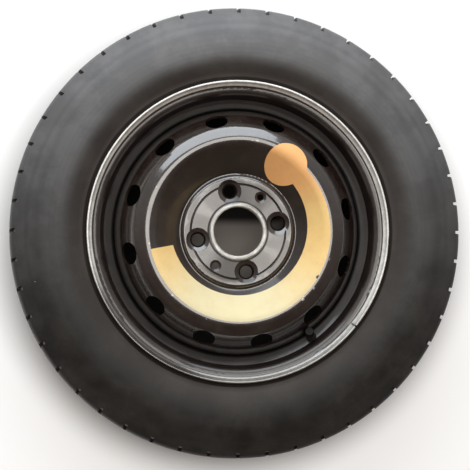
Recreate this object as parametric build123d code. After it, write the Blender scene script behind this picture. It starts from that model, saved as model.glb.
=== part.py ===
from build123d import *
import os
from math import cos, radians, sin, sqrt, tan

# Narrow temporary spare wheel, lying on its back with the outer face up.
# Millimetres. The axle line is Z, the floor is height 0, and clock angles run
# clockwise from +Y as seen from above. "Outboard" is measured up from the
# middle plane of the tyre.

# Tyre
section_width = 133.0
tyre_diameter = 545.0
widest_height = 51.3
shoulder_drop = 20.5
shoulder_foot_offset = 55.0
tread_half_width = 47.0
tread_crown_arc = 260.0
shoulder_fillet = 8.0
tread_thickness = 12.5
sidewall_thickness = 6.5
inner_shoulder_inset = 5.0
inner_shoulder_drop = 1.0
bead_side_height = 12.8
bead_toe_width = 15.5
bead_apex_height = 17.0
bead_apex_width = 11.0
bead_heel_fillet = 7.5
bead_gap = 0.05

# Tread pattern
ring_groove_width = 6.5
ring_groove_draft = 0.8
ring_groove_depth = 5.5
ring_groove_offset = 21.0
cross_groove_count = 48
cross_groove_width = 3.4
cross_groove_depth = 4.5
cross_groove_slant = 16.0
cross_groove_exit_drop = 5.0

# Rim
rim_width = 101.6
rim_sheet = 2.5
bead_seat_radius = 164.7
bead_seat_taper = 5.0
bead_seat_width = 21.0
flange_height = 14.6
flange_reach = 11.2
flange_curl = 9.5
flange_heel = 6.5
well_depth = 14.7
well_wall_angle = 65.0
well_inner_end = -14.0
well_bend = 4.0
lip_round = 1.1
seam_clock = 129.1
seam_notch_width = 2.4
seam_notch_depth = 3.2

# Disc
disc_sheet = 3.5
hub_face_offset = 38.0
hub_pad_rise = 3.0
hub_pad_radius = 65.3
hub_valley_width = 4.2
hub_bend = 2.0
crown_offset = 74.0
crown_width = 16.3
crown_bend = 10.5
cone_width = 18.0
crown_fall = 6.0
crown_outer_bend = 7.5
cone_inset = 7.5
cone_offset = 47.0
cone_bend = 15.0
skirt_top_offset = 27.0
skirt_bend = 5.0
skirt_end_offset = -4.0
pad_groove_radius = 56.7
pad_groove_width = 1.4
pad_groove_depth = 1.2

# Holes in the disc
bore_diameter = 58.1
bore_lip_width = 5.6
bore_lip_rise = 4.5
bore_lip_round = 1.9
bolt_circle = 98.0
bolt_count = 4
bolt_hole_diameter = 14.5
bolt_seat_mouth = 18.5
bolt_seat_angle = 60.0
bolt_pocket_mouth = 28.0
bolt_pocket_depth = 2.0
bolt_pocket_round = 1.6
bolt_boss_top = 33.0
bolt_boss_foot = 25.0
bolt_clock = -11.7
locating_hole_diameter = 8.0
locating_mouth = 14.0
locating_depth = 1.8
locating_count = 2
vent_count = 12
vent_diameter = 26.6
vent_inset = 7.4

# Weld beads between disc and rim
weld_leg = 4.0
weld_count = 6
weld_arc = 30.0
weld_clock = 15.0

# Band label
label_film = 0.25
label_gap = 0.06
label_inner_radius = 81.5
label_inner_right = 0.7
label_inner_up = 5.4
label_outer_radius = 107.0
label_end_clock = 258.0
label_head_clock = 34.7
label_head_path = 96.3
label_head_radius = 24.5

# Valve, with heights along its own axis from the tyre side of the rim
valve_clock = 144.5
valve_hole_diameter = 11.5
valve_fit = 0.05
valve_base_radius = 7.2
valve_base_depth = 9.0
valve_base_edge = 1.6
valve_base_bevel = 2.4
valve_collar_radius = 6.1
valve_collar_height = 2.2
valve_neck_radius = 4.7
valve_rubber_top = 15.0
stem_radius = 3.85
stem_top = 23.0
stem_foot = -8.5
stem_chamber_radius = 2.65
stem_chamber_floor = 6.0
stem_passage_radius = 1.6

# Valve core
core_fit = 0.05
core_top = 22.2
core_foot = 11.5
core_wall = 0.85
core_floor = 1.5
core_ceiling = 1.8
core_port_radius = 1.0
gasket_foot = 15.0
gasket_height = 1.8
gasket_inner_radius = 2.15
pin_radius = 0.6
pin_top = 22.6
pin_collar_height = 0.8
pin_foot_radius = 1.5
pin_foot_height = 0.8
cup_radius = 1.9
cup_height = 1.5
seat_gap = 0.02
spring_radius = 1.2
spring_wire = 0.4
spring_turns = 5
spring_end_gap = 0.05

# Valve cap
cap_radius = 5.0
cap_fit = 0.06
cap_skirt_gap = 0.3
cap_crown = 1.5
cap_edge = 0.8
cap_seal_thickness = 0.7
cap_seal_gap = 0.05
cap_flute_count = 12
cap_flute_radius = 0.55

os.makedirs("parts", exist_ok=True)

# Places worked out from the driving sizes
half_width = section_width / 2
tyre_radius = tyre_diameter / 2
widest_radius = bead_seat_radius + widest_height
shoulder_foot_radius = tyre_radius - shoulder_drop
bead_side_radius = bead_seat_radius + bead_side_height
rim_half = rim_width / 2
lip_radius = bead_seat_radius + flange_height
lip_offset = rim_half + flange_reach
seat_end_offset = rim_half - bead_seat_width
seat_end_radius = bead_seat_radius - bead_seat_width * tan(radians(bead_seat_taper))
well_radius = bead_seat_radius - well_depth
well_outer_end = seat_end_offset - (seat_end_radius - well_radius) / tan(radians(well_wall_angle))
skirt_radius = well_radius - rim_sheet
cone_radius = skirt_radius - cone_inset
crown_outer_radius = cone_radius - cone_width
crown_radius = crown_outer_radius - crown_width
hub_valley_radius = hub_pad_radius + hub_valley_width
vent_circle_radius = cone_radius - vent_inset
bore_radius = bore_diameter / 2
valley_offset = hub_face_offset + disc_sheet
pad_offset = valley_offset + hub_pad_rise
drill_length = 6 * disc_sheet


def at(radius, outboard):
    """Point of a section, from a radius and a height above the middle plane."""
    return (radius, half_width + outboard)


def turned(section, arc=360.0):
    """Solid of a section turned about the axle line, starting at +X."""
    return revolve(Plane.XZ * section, Axis.Z, arc)


def at_clock(clock):
    """Turn that carries a shape from +X to a clock angle."""
    return Rot(0, 0, 90 - clock)


def around(shape, count, first_clock):
    """Copies of a shape spaced evenly round the axle line."""
    return [at_clock(first_clock + i * 360 / count) * shape for i in range(count)]


def beside(points, bends, distance):
    """Bent line that keeps a distance to the left of another, with bends on the same centres."""
    corners = [Vector(*point) for point in points]
    runs = [(b - a).normalized() for a, b in zip(corners, corners[1:])]
    lefts = [Vector(-run.Y, run.X) for run in runs]
    moved = [corners[0] + lefts[0] * distance]
    radii = []
    for i, bend in enumerate(bends):
        mitre = (lefts[i] + lefts[i + 1]) / (1 + lefts[i].dot(lefts[i + 1]))
        moved.append(corners[i + 1] + mitre * distance)
        radii.append(bend - distance if runs[i].cross(runs[i + 1]).Z > 0 else bend + distance)
    moved.append(corners[-1] + lefts[-1] * distance)
    return FilletPolyline(*moved, radius=radii)


def sheet_section(points, bends, thickness, gap=0.0):
    """Face of a bent sheet that lies to the left of a bent line, or to the right if negative."""
    near = beside(points, bends, gap)
    far = beside(points, bends, gap + thickness)
    return make_face([near, far, Line(near @ 0, far @ 0), Line(near @ 1, far @ 1)])


def save(shape, name):
    """Write one piece."""
    export_step(shape, f"parts/{name}.step")


# Tyre: half a section, mirrored, with the ring grooves cut before it is turned
def crown_height(outboard):
    """Radius of the tread surface at a distance from the middle plane."""
    return tyre_radius - tread_crown_arc + sqrt(tread_crown_arc**2 - outboard**2)


bead_toe_radius = bead_seat_radius - bead_toe_width * tan(radians(bead_seat_taper)) + bead_gap
bead_toe_offset = rim_half - bead_toe_width
tread_edge = at(crown_height(tread_half_width), tread_half_width)
shoulder_foot = at(shoulder_foot_radius, shoulder_foot_offset)
widest_place = at(widest_radius, half_width)
bead_side = at(bead_side_radius, rim_half)
bead_toe = at(bead_toe_radius, bead_toe_offset)
bead_apex = at(bead_toe_radius + bead_apex_height, rim_half - bead_apex_width)
inner_wall = at(widest_radius, half_width - sidewall_thickness)
inner_radius = tyre_radius - tread_thickness
inner_shoulder = at(inner_radius - inner_shoulder_drop, tread_half_width - inner_shoulder_inset)

tread_line = ThreePointArc(
    at(tyre_radius, 0),
    at(crown_height(tread_half_width / 2), tread_half_width / 2),
    tread_edge,
)
shoulder_line = Line(tread_edge, shoulder_foot)
upper_line = TangentArc(widest_place, shoulder_foot, tangent=(1, 0))
lower_line = TangentArc(widest_place, bead_side, tangent=(-1, 0))
bead_line = FilletPolyline(
    bead_side,
    at(bead_seat_radius + bead_gap, rim_half),
    bead_toe,
    radius=[bead_heel_fillet],
)
apex_line = Line(bead_toe, bead_apex)
inner_line = ThreePointArc(bead_apex, inner_wall, inner_shoulder)
belt_line = Line(inner_shoulder, at(inner_radius, 0))
middle_line = Line(at(inner_radius, 0), at(tyre_radius, 0))
outer_lines = [tread_line, shoulder_line, upper_line, lower_line, bead_line]
half_section = make_face(outer_lines + [apex_line, inner_line, belt_line, middle_line])
tread_corner = half_section.vertices().sort_by_distance((tread_edge[0], tread_edge[1], 0))[0]
half_section = fillet(tread_corner, shoulder_fillet)
tyre_section = half_section + mirror(half_section, Plane.XZ.offset(-half_width))


def ring_groove(outboard):
    """Section of one groove that runs round the tread."""
    top = crown_height(outboard) + ring_groove_depth
    floor = crown_height(outboard) - ring_groove_depth
    mouth = ring_groove_width / 2 + ring_groove_draft
    return make_face(
        Polyline(
            at(top, outboard - mouth),
            at(top, outboard + mouth),
            at(floor, outboard + ring_groove_width / 2 - ring_groove_draft),
            at(floor, outboard - ring_groove_width / 2 + ring_groove_draft),
            close=True,
        )
    )


for groove_place in (-ring_groove_offset, 0, ring_groove_offset):
    tyre_section -= ring_groove(groove_place)

groove_start = ring_groove_offset
groove_exit = shoulder_foot_offset + shoulder_fillet
groove_middle = (groove_start + groove_exit) / 2
cross_section = make_face(
    Polyline(
        at(crown_height(groove_start) - cross_groove_depth, groove_start),
        at(crown_height(tread_half_width) - cross_groove_exit_drop, groove_exit),
        at(tyre_radius + cross_groove_depth, groove_exit),
        at(tyre_radius + cross_groove_depth, groove_start),
        close=True,
    )
)
cross_groove = extrude(Plane.XZ * cross_section, cross_groove_width / 2, both=True)
slant_place = Pos(0, 0, half_width + groove_middle)
outer_groove = slant_place * (Rot(cross_groove_slant, 0, 0) * (slant_place.inverse() * cross_groove))
inner_groove = mirror(outer_groove, Plane.XY.offset(half_width))
half_pitch = 180 / cross_groove_count
tread_cuts = around(outer_groove, cross_groove_count, 0) + around(inner_groove, cross_groove_count, half_pitch)
tyre = turned(tyre_section) - tread_cuts
save(tyre, "tyre")

# Rim: one rolled sheet, drawn along its tyre side
rim_points = [
    at(lip_radius, -lip_offset),
    at(lip_radius, -rim_half),
    at(bead_seat_radius, -rim_half),
    at(seat_end_radius, -seat_end_offset),
    at(well_radius, well_inner_end),
    at(well_radius, well_outer_end),
    at(seat_end_radius, seat_end_offset),
    at(bead_seat_radius, rim_half),
    at(lip_radius, rim_half),
    at(lip_radius, lip_offset),
]
rim_bends = [flange_curl, flange_heel] + [well_bend] * 4 + [flange_heel, flange_curl]
rim_section = sheet_section(rim_points, rim_bends, rim_sheet)
lip_corners = [v for v in rim_section.vertices() if abs(abs(v.Y - half_width) - lip_offset) < lip_round]
rim_section = fillet(lip_corners, lip_round)
rim = turned(rim_section)

# Frame of the valve: on the outer well wall, square to it
valve_radius = (seat_end_radius + well_radius) / 2
valve_offset = (seat_end_offset + well_outer_end) / 2
valve_lean = radians(90 - well_wall_angle)
valve_plane = Plane(
    origin=(valve_radius, 0, half_width + valve_offset),
    x_dir=(cos(valve_lean), 0, sin(valve_lean)),
    z_dir=(-sin(valve_lean), 0, cos(valve_lean)),
)
valve_place = at_clock(valve_clock) * valve_plane.location

valve_hole_radius = valve_hole_diameter / 2
rim -= valve_place * Cylinder(valve_hole_radius, drill_length)
seam_notch = Pos(lip_radius, 0, half_width + lip_offset) * Box(
    2 * seam_notch_depth, seam_notch_width, flange_curl
)
rim -= at_clock(seam_clock) * seam_notch
save(rim, "rim")

# Disc: one pressed sheet, drawn along its front, with a rolled lip at the bore
disc_points = [
    at(bore_radius, pad_offset),
    at(hub_pad_radius, pad_offset),
    at(hub_valley_radius, valley_offset),
    at(crown_radius, crown_offset),
    at(crown_outer_radius, crown_offset - crown_fall),
    at(cone_radius, cone_offset),
    at(skirt_radius, skirt_top_offset),
    at(skirt_radius, skirt_end_offset),
]
pad_bends = [hub_bend + disc_sheet, hub_bend]
disc_bends = pad_bends + [disc_sheet + bend for bend in (crown_bend, crown_outer_bend, cone_bend, skirt_bend)]
pressing = turned(sheet_section(disc_points, disc_bends, -disc_sheet))

lip_top = pad_offset + bore_lip_rise
lip_section = make_face(
    Polyline(
        at(bore_radius, hub_face_offset),
        at(bore_radius, lip_top),
        at(bore_radius + bore_lip_width, lip_top),
        at(bore_radius + bore_lip_width, hub_face_offset),
        close=True,
    )
)
lip_section = fillet(lip_section.vertices().group_by(Axis.Y)[-1], bore_lip_round)

pad_groove = make_face(
    Polyline(
        at(pad_groove_radius - pad_groove_width, pad_offset),
        at(pad_groove_radius, pad_offset - pad_groove_depth),
        at(pad_groove_radius + pad_groove_width, pad_offset),
        close=True,
    )
)

bolt_radius = bolt_circle / 2
seat_depth = (bolt_seat_mouth - bolt_hole_diameter) / 2 / tan(radians(bolt_seat_angle / 2))
boss_height = pad_offset - hub_face_offset
boss = Pos(bolt_radius, 0, half_width + hub_face_offset) * Cone(
    bolt_boss_foot / 2,
    bolt_boss_top / 2,
    boss_height - disc_sheet / 2,
    align=(Align.CENTER, Align.CENTER, Align.MIN),
)
seat_top = pad_offset - bolt_pocket_depth
cut_top = pad_offset + disc_sheet
cut_foot = hub_face_offset - disc_sheet
seat_section = make_face(
    FilletPolyline(
        at(0, cut_foot),
        at(bolt_hole_diameter / 2, cut_foot),
        at(bolt_hole_diameter / 2, seat_top - seat_depth),
        at(bolt_seat_mouth / 2, seat_top),
        at(bolt_pocket_mouth / 2, pad_offset),
        at(bolt_pocket_mouth / 2 + disc_sheet, pad_offset),
        at(bolt_pocket_mouth / 2 + disc_sheet, cut_top),
        at(0, cut_top),
        radius=[0, 0, 0, bolt_pocket_round, 0, 0],
    )
    + Line(at(0, cut_top), at(0, cut_foot))
)
seat = Pos(bolt_radius, 0, 0) * turned(seat_section)

locating_hole = Pos(bolt_radius, 0, half_width + pad_offset) * (
    Cylinder(locating_hole_diameter / 2, drill_length)
    + Cone(
        locating_hole_diameter / 2,
        locating_mouth / 2,
        locating_depth,
        align=(Align.CENTER, Align.CENTER, Align.MAX),
    )
)

cone_rise = crown_offset - crown_fall - cone_offset
cone_run = cone_radius - crown_outer_radius
vent_offset = cone_offset + cone_rise * (cone_radius - vent_circle_radius) / cone_run
vent_plane = Plane(
    origin=(vent_circle_radius, 0, half_width + vent_offset),
    x_dir=(0, 1, 0),
    z_dir=(cone_rise, 0, cone_run),
)
vent = vent_plane.location * Cylinder(vent_diameter / 2, drill_length)

wheel_disc = pressing + around(boss, bolt_count, bolt_clock)
wheel_disc -= [turned(pad_groove)] + around(seat, bolt_count, bolt_clock)
wheel_disc -= around(locating_hole, locating_count, bolt_clock + 180 / bolt_count)
wheel_disc -= around(vent, vent_count, bolt_clock)
wheel_disc += turned(lip_section)
save(wheel_disc, "wheel_disc")

# Weld beads in the corner between the end of the disc's skirt and the rim
weld_section = make_face(
    Polyline(
        at(skirt_radius, skirt_end_offset),
        at(skirt_radius - disc_sheet, skirt_end_offset),
        at(skirt_radius, skirt_end_offset - weld_leg),
        close=True,
    )
)
weld_bead = turned(weld_section, weld_arc)
save(Compound(children=around(weld_bead, weld_count, weld_clock)), "disc_welds")

# Band label: a film that follows the front of the disc
film = turned(sheet_section(disc_points, disc_bends, label_film, label_gap))
label_start = 90 - label_end_clock
label_sweep = label_end_clock - label_head_clock
label_outer = CenterArc((0, 0), label_outer_radius, label_start, label_sweep)
label_slice = make_face([label_outer, Line((0, 0), label_outer @ 0), Line(label_outer @ 1, (0, 0))])
label_band = label_slice - Pos(label_inner_right, label_inner_up) * Circle(label_inner_radius)
label_head = at_clock(label_head_clock) * Pos(label_head_path, 0, 0) * Circle(label_head_radius)
label_outline = label_band + label_head
band_label = film & extrude(label_outline, section_width * 2)
save(band_label, "band_label")


# Valve: turned pieces along the valve's own axis
def valve_turned(*points, radius=0):
    """Turned piece of the valve, from a closed outline of radius and height."""
    outline = FilletPolyline(*points, radius=radius, close=True)
    return valve_place * revolve(Plane.XZ * make_face(outline), Axis.Z)


def valve_tube(inner, outer, foot, top):
    """Plain tube of the valve between two heights."""
    return valve_turned((inner, foot), (outer, foot), (outer, top), (inner, top))


valve_body = valve_turned(
    (stem_radius, stem_foot),
    (valve_base_radius - valve_base_bevel, -valve_base_depth),
    (valve_base_radius, -valve_base_bevel - valve_base_edge),
    (valve_base_radius, -valve_base_bevel),
    (valve_hole_radius - valve_fit, 0),
    (valve_hole_radius - valve_fit, rim_sheet),
    (valve_collar_radius, rim_sheet + valve_collar_height),
    (valve_neck_radius, valve_rubber_top),
    (stem_radius, valve_rubber_top),
)
save(valve_body, "valve_body")

valve_stem = valve_turned(
    (stem_passage_radius, stem_foot),
    (stem_radius, stem_foot),
    (stem_radius, stem_top),
    (stem_chamber_radius, stem_top),
    (stem_chamber_radius, stem_chamber_floor),
    (stem_passage_radius, stem_chamber_floor),
)
save(valve_stem, "valve_stem")

core_radius = stem_chamber_radius - core_fit
core_chamber = core_radius - core_wall
gasket_top = gasket_foot + gasket_height
core_plug = valve_turned(
    (core_port_radius, core_foot),
    (core_radius, core_foot),
    (core_radius, gasket_foot),
    (gasket_inner_radius, gasket_foot),
    (gasket_inner_radius, gasket_top),
    (core_radius, gasket_top),
    (core_radius, core_top),
    (core_port_radius, core_top),
    (core_port_radius, core_top - core_ceiling),
    (core_chamber, core_top - core_ceiling),
    (core_chamber, core_foot + core_floor),
    (core_port_radius, core_foot + core_floor),
)
save(core_plug, "valve_core_plug")
save(valve_tube(gasket_inner_radius, stem_chamber_radius, gasket_foot, gasket_top), "valve_core_gasket")

collar_top = core_top - core_ceiling - seat_gap
collar_foot = collar_top - pin_collar_height
cup_top = core_foot - seat_gap
pin_foot = cup_top - cup_height
core_pin = valve_turned(
    (0, pin_foot - pin_foot_height),
    (pin_foot_radius, pin_foot - pin_foot_height),
    (pin_foot_radius, pin_foot),
    (pin_radius, pin_foot),
    (pin_radius, collar_foot),
    (core_chamber - core_fit, collar_foot),
    (core_chamber - core_fit, collar_top),
    (pin_radius, collar_top),
    (pin_radius, pin_top),
    (0, pin_top),
)
save(core_pin, "valve_core_pin")
save(valve_tube(pin_radius, cup_radius, pin_foot, cup_top), "valve_core_cup")

spring_foot = core_foot + core_floor + spring_end_gap + spring_wire / 2
spring_top = collar_foot - spring_end_gap - spring_wire / 2
spring_height = spring_top - spring_foot
spring_path = Helix(spring_height / spring_turns, spring_height, spring_radius)
spring_end = Plane(spring_path @ 0, z_dir=spring_path % 0)
spring = sweep(spring_end * Rectangle(spring_wire, spring_wire), spring_path, is_frenet=True)
save(valve_place * Pos(0, 0, spring_foot) * spring, "valve_core_spring")

# Valve cap with its seal
cap_foot = valve_rubber_top + cap_skirt_gap
cap_seal_foot = stem_top + cap_seal_gap
cap_inner_top = cap_seal_foot + cap_seal_thickness
cap_bore = stem_radius + cap_fit
cap_top = cap_inner_top + cap_crown
cap = valve_turned(
    (cap_bore, cap_foot),
    (cap_radius, cap_foot),
    (cap_radius, cap_top),
    (0, cap_top),
    (0, cap_inner_top),
    (cap_bore, cap_inner_top),
    radius=[0, 0, cap_edge, 0, 0, 0],
)
flute_height = cap_top - cap_foot - 2 * cap_edge
flute = Pos(cap_radius, 0, cap_foot) * Cylinder(
    cap_flute_radius, flute_height, align=(Align.CENTER, Align.CENTER, Align.MIN)
)
cap -= [valve_place * f for f in around(flute, cap_flute_count, 0)]
save(cap, "valve_cap")
save(valve_tube(0, cap_bore - cap_fit, cap_seal_foot, cap_inner_top), "valve_cap_seal")
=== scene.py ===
"""Dressed scene of a narrow spare wheel that lies on its back on a pale studio floor."""

import logging
import math
from dataclasses import dataclass, fields
from enum import Enum
from typing import Iterable, Optional, Sequence, Union

import bmesh
import bpy
from mathutils import Matrix, Vector


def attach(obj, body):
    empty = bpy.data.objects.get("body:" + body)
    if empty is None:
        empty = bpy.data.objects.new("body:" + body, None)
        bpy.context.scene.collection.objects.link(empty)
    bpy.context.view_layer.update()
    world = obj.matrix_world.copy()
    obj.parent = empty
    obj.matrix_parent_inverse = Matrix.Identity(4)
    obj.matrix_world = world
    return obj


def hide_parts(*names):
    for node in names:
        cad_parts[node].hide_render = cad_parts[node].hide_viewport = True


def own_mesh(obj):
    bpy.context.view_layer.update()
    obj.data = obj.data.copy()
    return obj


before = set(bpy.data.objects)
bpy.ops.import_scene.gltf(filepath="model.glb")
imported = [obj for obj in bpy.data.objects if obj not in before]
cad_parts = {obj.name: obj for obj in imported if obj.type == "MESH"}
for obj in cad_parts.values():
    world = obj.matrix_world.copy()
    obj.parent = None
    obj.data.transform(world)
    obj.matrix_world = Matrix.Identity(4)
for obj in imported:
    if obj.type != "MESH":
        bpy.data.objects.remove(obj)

LOG = logging.getLogger("spare_wheel")
WHEEL_BODY = "wheel"
SHADER = "Principled BSDF"
MM = 0.001
FULL_TURN = 360.0
QUARTER_TURN = 90.0
IMAGE_PIXELS = 470.0
SENSOR_WIDTH = 36.0
MERGE_DISTANCE = 2e-6
SLIVER_LENGTH = 1e-7
ORIGIN = Vector((0.0, 0.0, 0.0))
AXLE = Vector((0.0, 0.0, 1.0))
ACROSS = Vector((0.0, 1.0, 0.0))

Colour = tuple[float, float, float]
Place = tuple[float, float]
Range = tuple[float, float]
Ramp = tuple[float, float, float, float]
Octaves = tuple[float, float]
Mesh = bmesh.types.BMesh
Vert = bmesh.types.BMVert
Edge = bmesh.types.BMEdge
Tree = bpy.types.NodeTree
Node = bpy.types.Node
Socket = bpy.types.NodeSocket
Material = bpy.types.Material
Piece = bpy.types.Object
Value = Union[float, Socket]
Tint = Union[Colour, Socket]

BLACK: Colour = (0.0, 0.0, 0.0)
WHITE: Colour = (1.0, 1.0, 1.0)


class Operation(Enum):
    """Arithmetic that a shader value can go through."""

    ADD = "ADD"
    SUBTRACT = "SUBTRACT"
    MULTIPLY = "MULTIPLY"
    DIVIDE = "DIVIDE"
    MAXIMUM = "MAXIMUM"
    ABSOLUTE = "ABSOLUTE"
    ARCTAN2 = "ARCTAN2"
    LESS_THAN = "LESS_THAN"
    COSINE = "COSINE"


class NodeBench:
    """Places and links shader nodes in one tree."""

    mix_inputs = (6, 7)
    mix_output = 2

    def __init__(self, tree: Tree) -> None:
        """Work on a node tree.

        Args:
            tree: Tree of a material, a world or a group.
        """
        self.tree = tree

    def node(self, kind: str, **settings: object) -> Node:
        """Add a node.

        Args:
            kind: Node type, without its ShaderNode prefix.
            settings: Properties to set on the node.

        Returns:
            The new node.
        """
        made = self.tree.nodes.new("ShaderNode" + kind)
        for name, setting in settings.items():
            setattr(made, name, setting)
        return made

    def feed(self, target: Socket, value: object) -> None:
        """Link a socket to an input, or set the input's own value.

        Args:
            target: Input to feed.
            value: Another node's output, a number or a colour.
        """
        if isinstance(value, Socket):
            self.tree.links.new(value, target)
        elif isinstance(value, tuple) and target.type == "RGBA":
            target.default_value = (*value[:3], 1.0)
        else:
            target.default_value = value

    def math(self, operation: Operation, first: Value, second: Value = 0.0, clamp: bool = False) -> Socket:
        """Work out a value from one or two others.

        Args:
            operation: Arithmetic to do.
            first: First value.
            second: Second value.
            clamp: Whether the result is kept between 0 and 1.

        Returns:
            The result.
        """
        made = self.node("Math", operation=operation.value, use_clamp=clamp)
        self.feed(made.inputs[0], first)
        self.feed(made.inputs[1], second)
        return made.outputs[0]

    def times(self, first: Value, second: Value) -> Socket:
        """Product of two values."""
        return self.math(Operation.MULTIPLY, first, second)

    def plus(self, first: Value, second: Value) -> Socket:
        """Sum of two values."""
        return self.math(Operation.ADD, first, second)

    def minus(self, first: Value, second: Value) -> Socket:
        """Difference of two values."""
        return self.math(Operation.SUBTRACT, first, second)

    def rest(self, value: Value) -> Socket:
        """What a value lacks to 1."""
        return self.minus(1.0, value)

    def most(self, first: Value, second: Value) -> Socket:
        """The larger of two values."""
        return self.math(Operation.MAXIMUM, first, second)

    def gap(self, first: Value, second: Value) -> Socket:
        """Distance between two values."""
        return self.math(Operation.ABSOLUTE, self.minus(first, second))

    def span(self, value: Value, low: Value, high: Value, start: float = 0.0, end: float = 1.0) -> Socket:
        """Carry a value smoothly from one range to another.

        Args:
            value: Value to carry over.
            low: Value that gives the start.
            high: Value that gives the end.
            start: Result at and below the low value.
            end: Result at and above the high value.

        Returns:
            The result.
        """
        made = self.node("MapRange", interpolation_type="SMOOTHSTEP")
        for target, fed in zip(made.inputs, (value, low, high, start, end)):
            self.feed(target, fed)
        return made.outputs[0]

    def mix(self, factor: Value, first: Tint, second: Tint) -> Socket:
        """Blend two colours.

        Args:
            factor: Share of the second colour.
            first: Colour at a factor of 0.
            second: Colour at a factor of 1.

        Returns:
            The blended colour.
        """
        made = self.node("Mix", data_type="RGBA")
        self.feed(made.inputs["Factor"], factor)
        for place, tint in zip(self.mix_inputs, (first, second)):
            self.feed(made.inputs[place], tint)
        return made.outputs[self.mix_output]

    def noise(self, vector: Socket, scale: Value, detail: float = 3.0, roughness: float = 0.55) -> Socket:
        """Soft random value over the surface.

        Args:
            vector: Coordinates.
            scale: Features in a metre.
            detail: Octaves of finer features.
            roughness: Strength of the finer features.

        Returns:
            Value about 0.5.
        """
        made = self.node("TexNoise")
        self.feed(made.inputs["Vector"], vector)
        self.feed(made.inputs["Scale"], scale)
        self.feed(made.inputs["Detail"], detail)
        self.feed(made.inputs["Roughness"], roughness)
        return made.outputs["Fac"]

    def point(self) -> Socket:
        """Object coordinates of the surface, in metres."""
        return self.node("TexCoord").outputs["Object"]

    def parts(self, vector: Socket) -> tuple[Socket, ...]:
        """Take a vector apart.

        Args:
            vector: The vector.

        Returns:
            Its three coordinates.
        """
        split = self.node("SeparateXYZ")
        self.feed(split.inputs[0], vector)
        return tuple(split.outputs)

    def upward(self) -> Socket:
        """How far the face looks up, from -1 to 1."""
        return self.parts(self.node("NewGeometry").outputs["Normal"])[2]

    def join(self, *coordinates: Value) -> Socket:
        """Put a vector together.

        Args:
            coordinates: Its first coordinates: those left out are 0.

        Returns:
            The vector.
        """
        made = self.node("CombineXYZ")
        for target, value in zip(made.inputs, coordinates):
            self.feed(target, value)
        return made.outputs[0]

    def length(self, vector: Socket) -> Socket:
        """Measure a vector.

        Args:
            vector: The vector.

        Returns:
            Its length.
        """
        made = self.node("VectorMath", operation="LENGTH")
        self.feed(made.inputs[0], vector)
        return made.outputs["Value"]


@dataclass(frozen=True)
class Band:
    """Ring round the wheel in metres, with the share and the scale of its gaps."""

    radius: float
    half_width: float
    softness: float
    breakup: float = 0.0
    scale: float = 120.0


@dataclass(frozen=True)
class Dust:
    """Dust: patches to a metre, strength, and how much it keeps to faces that look up."""

    scale: float
    amount: float
    lie: float


@dataclass(frozen=True)
class Grain:
    """Unevenness: coarse and fine features to a metre, and the share of the fine ones."""

    coarse: float
    fine: float
    balance: float


@dataclass(frozen=True)
class Specks:
    """Spots: cells to a metre, size in cells, and the share of cells that hold one."""

    scale: float
    size: float
    share: float


def socket_name(field_name: str) -> str:
    """Name of the group input that a settings field feeds."""
    return field_name.replace("_", " ").title()


class SharedEffect:
    """Base of an effect that several finishes use, kept as one node group."""

    title = "effect"
    settings: Optional[type] = None
    gives: Sequence[str] = ("Mask",)

    def __init__(self) -> None:
        """Start with no group: it is built when first asked for."""
        self._tree: Optional[Tree] = None

    def _build(self) -> Tree:
        """Make the group with its sockets and its nodes.

        Returns:
            The new group.
        """
        tree = bpy.data.node_groups.new(self.title, "ShaderNodeTree")
        takes = [socket_name(field.name) for field in fields(self.settings)] if self.settings else []
        for name in takes:
            tree.interface.new_socket(name, in_out="INPUT", socket_type="NodeSocketFloat")
        for name in self.gives:
            tree.interface.new_socket(name, in_out="OUTPUT", socket_type="NodeSocketFloat")
        entry = tree.nodes.new("NodeGroupInput")
        leave = tree.nodes.new("NodeGroupOutput")
        self.wire(NodeBench(tree), entry, leave)
        return tree

    def on(self, bench: NodeBench, settings: Optional[object] = None) -> Node:
        """Place the effect in a tree.

        Args:
            bench: Bench on the tree.
            settings: Values of the effect's inputs.

        Returns:
            The group node.
        """
        if self._tree is None:
            self._tree = self._build()
        made = bench.node("Group", node_tree=self._tree)
        if settings is not None:
            for name, value in vars(settings).items():
                bench.feed(made.inputs[socket_name(name)], value)
        return made

    def wire(self, bench: NodeBench, entry: Node, leave: Node) -> None:
        """Fill the group.

        Args:
            bench: Bench on the group's tree.
            entry: Node that holds the inputs.
            leave: Node that holds the outputs.
        """
        raise NotImplementedError


class WheelPlace(SharedEffect):
    """Where a point lies on the wheel: radius and height in metres, clock angle in turns."""

    title = "wheel place"
    gives = ("Radius", "Clock", "Height")

    def wire(self, bench: NodeBench, entry: Node, leave: Node) -> None:
        """Work out the place from the object coordinates.

        Args:
            bench: Bench on the group's tree.
            entry: Node that holds the inputs.
            leave: Node that holds the outputs.
        """
        right, up, height = bench.parts(bench.point())
        turn = bench.math(Operation.ARCTAN2, right, up)
        bench.feed(leave.inputs["Radius"], bench.length(bench.join(right, up)))
        bench.feed(leave.inputs["Clock"], bench.math(Operation.DIVIDE, turn, math.tau))
        bench.feed(leave.inputs["Height"], height)


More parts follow.
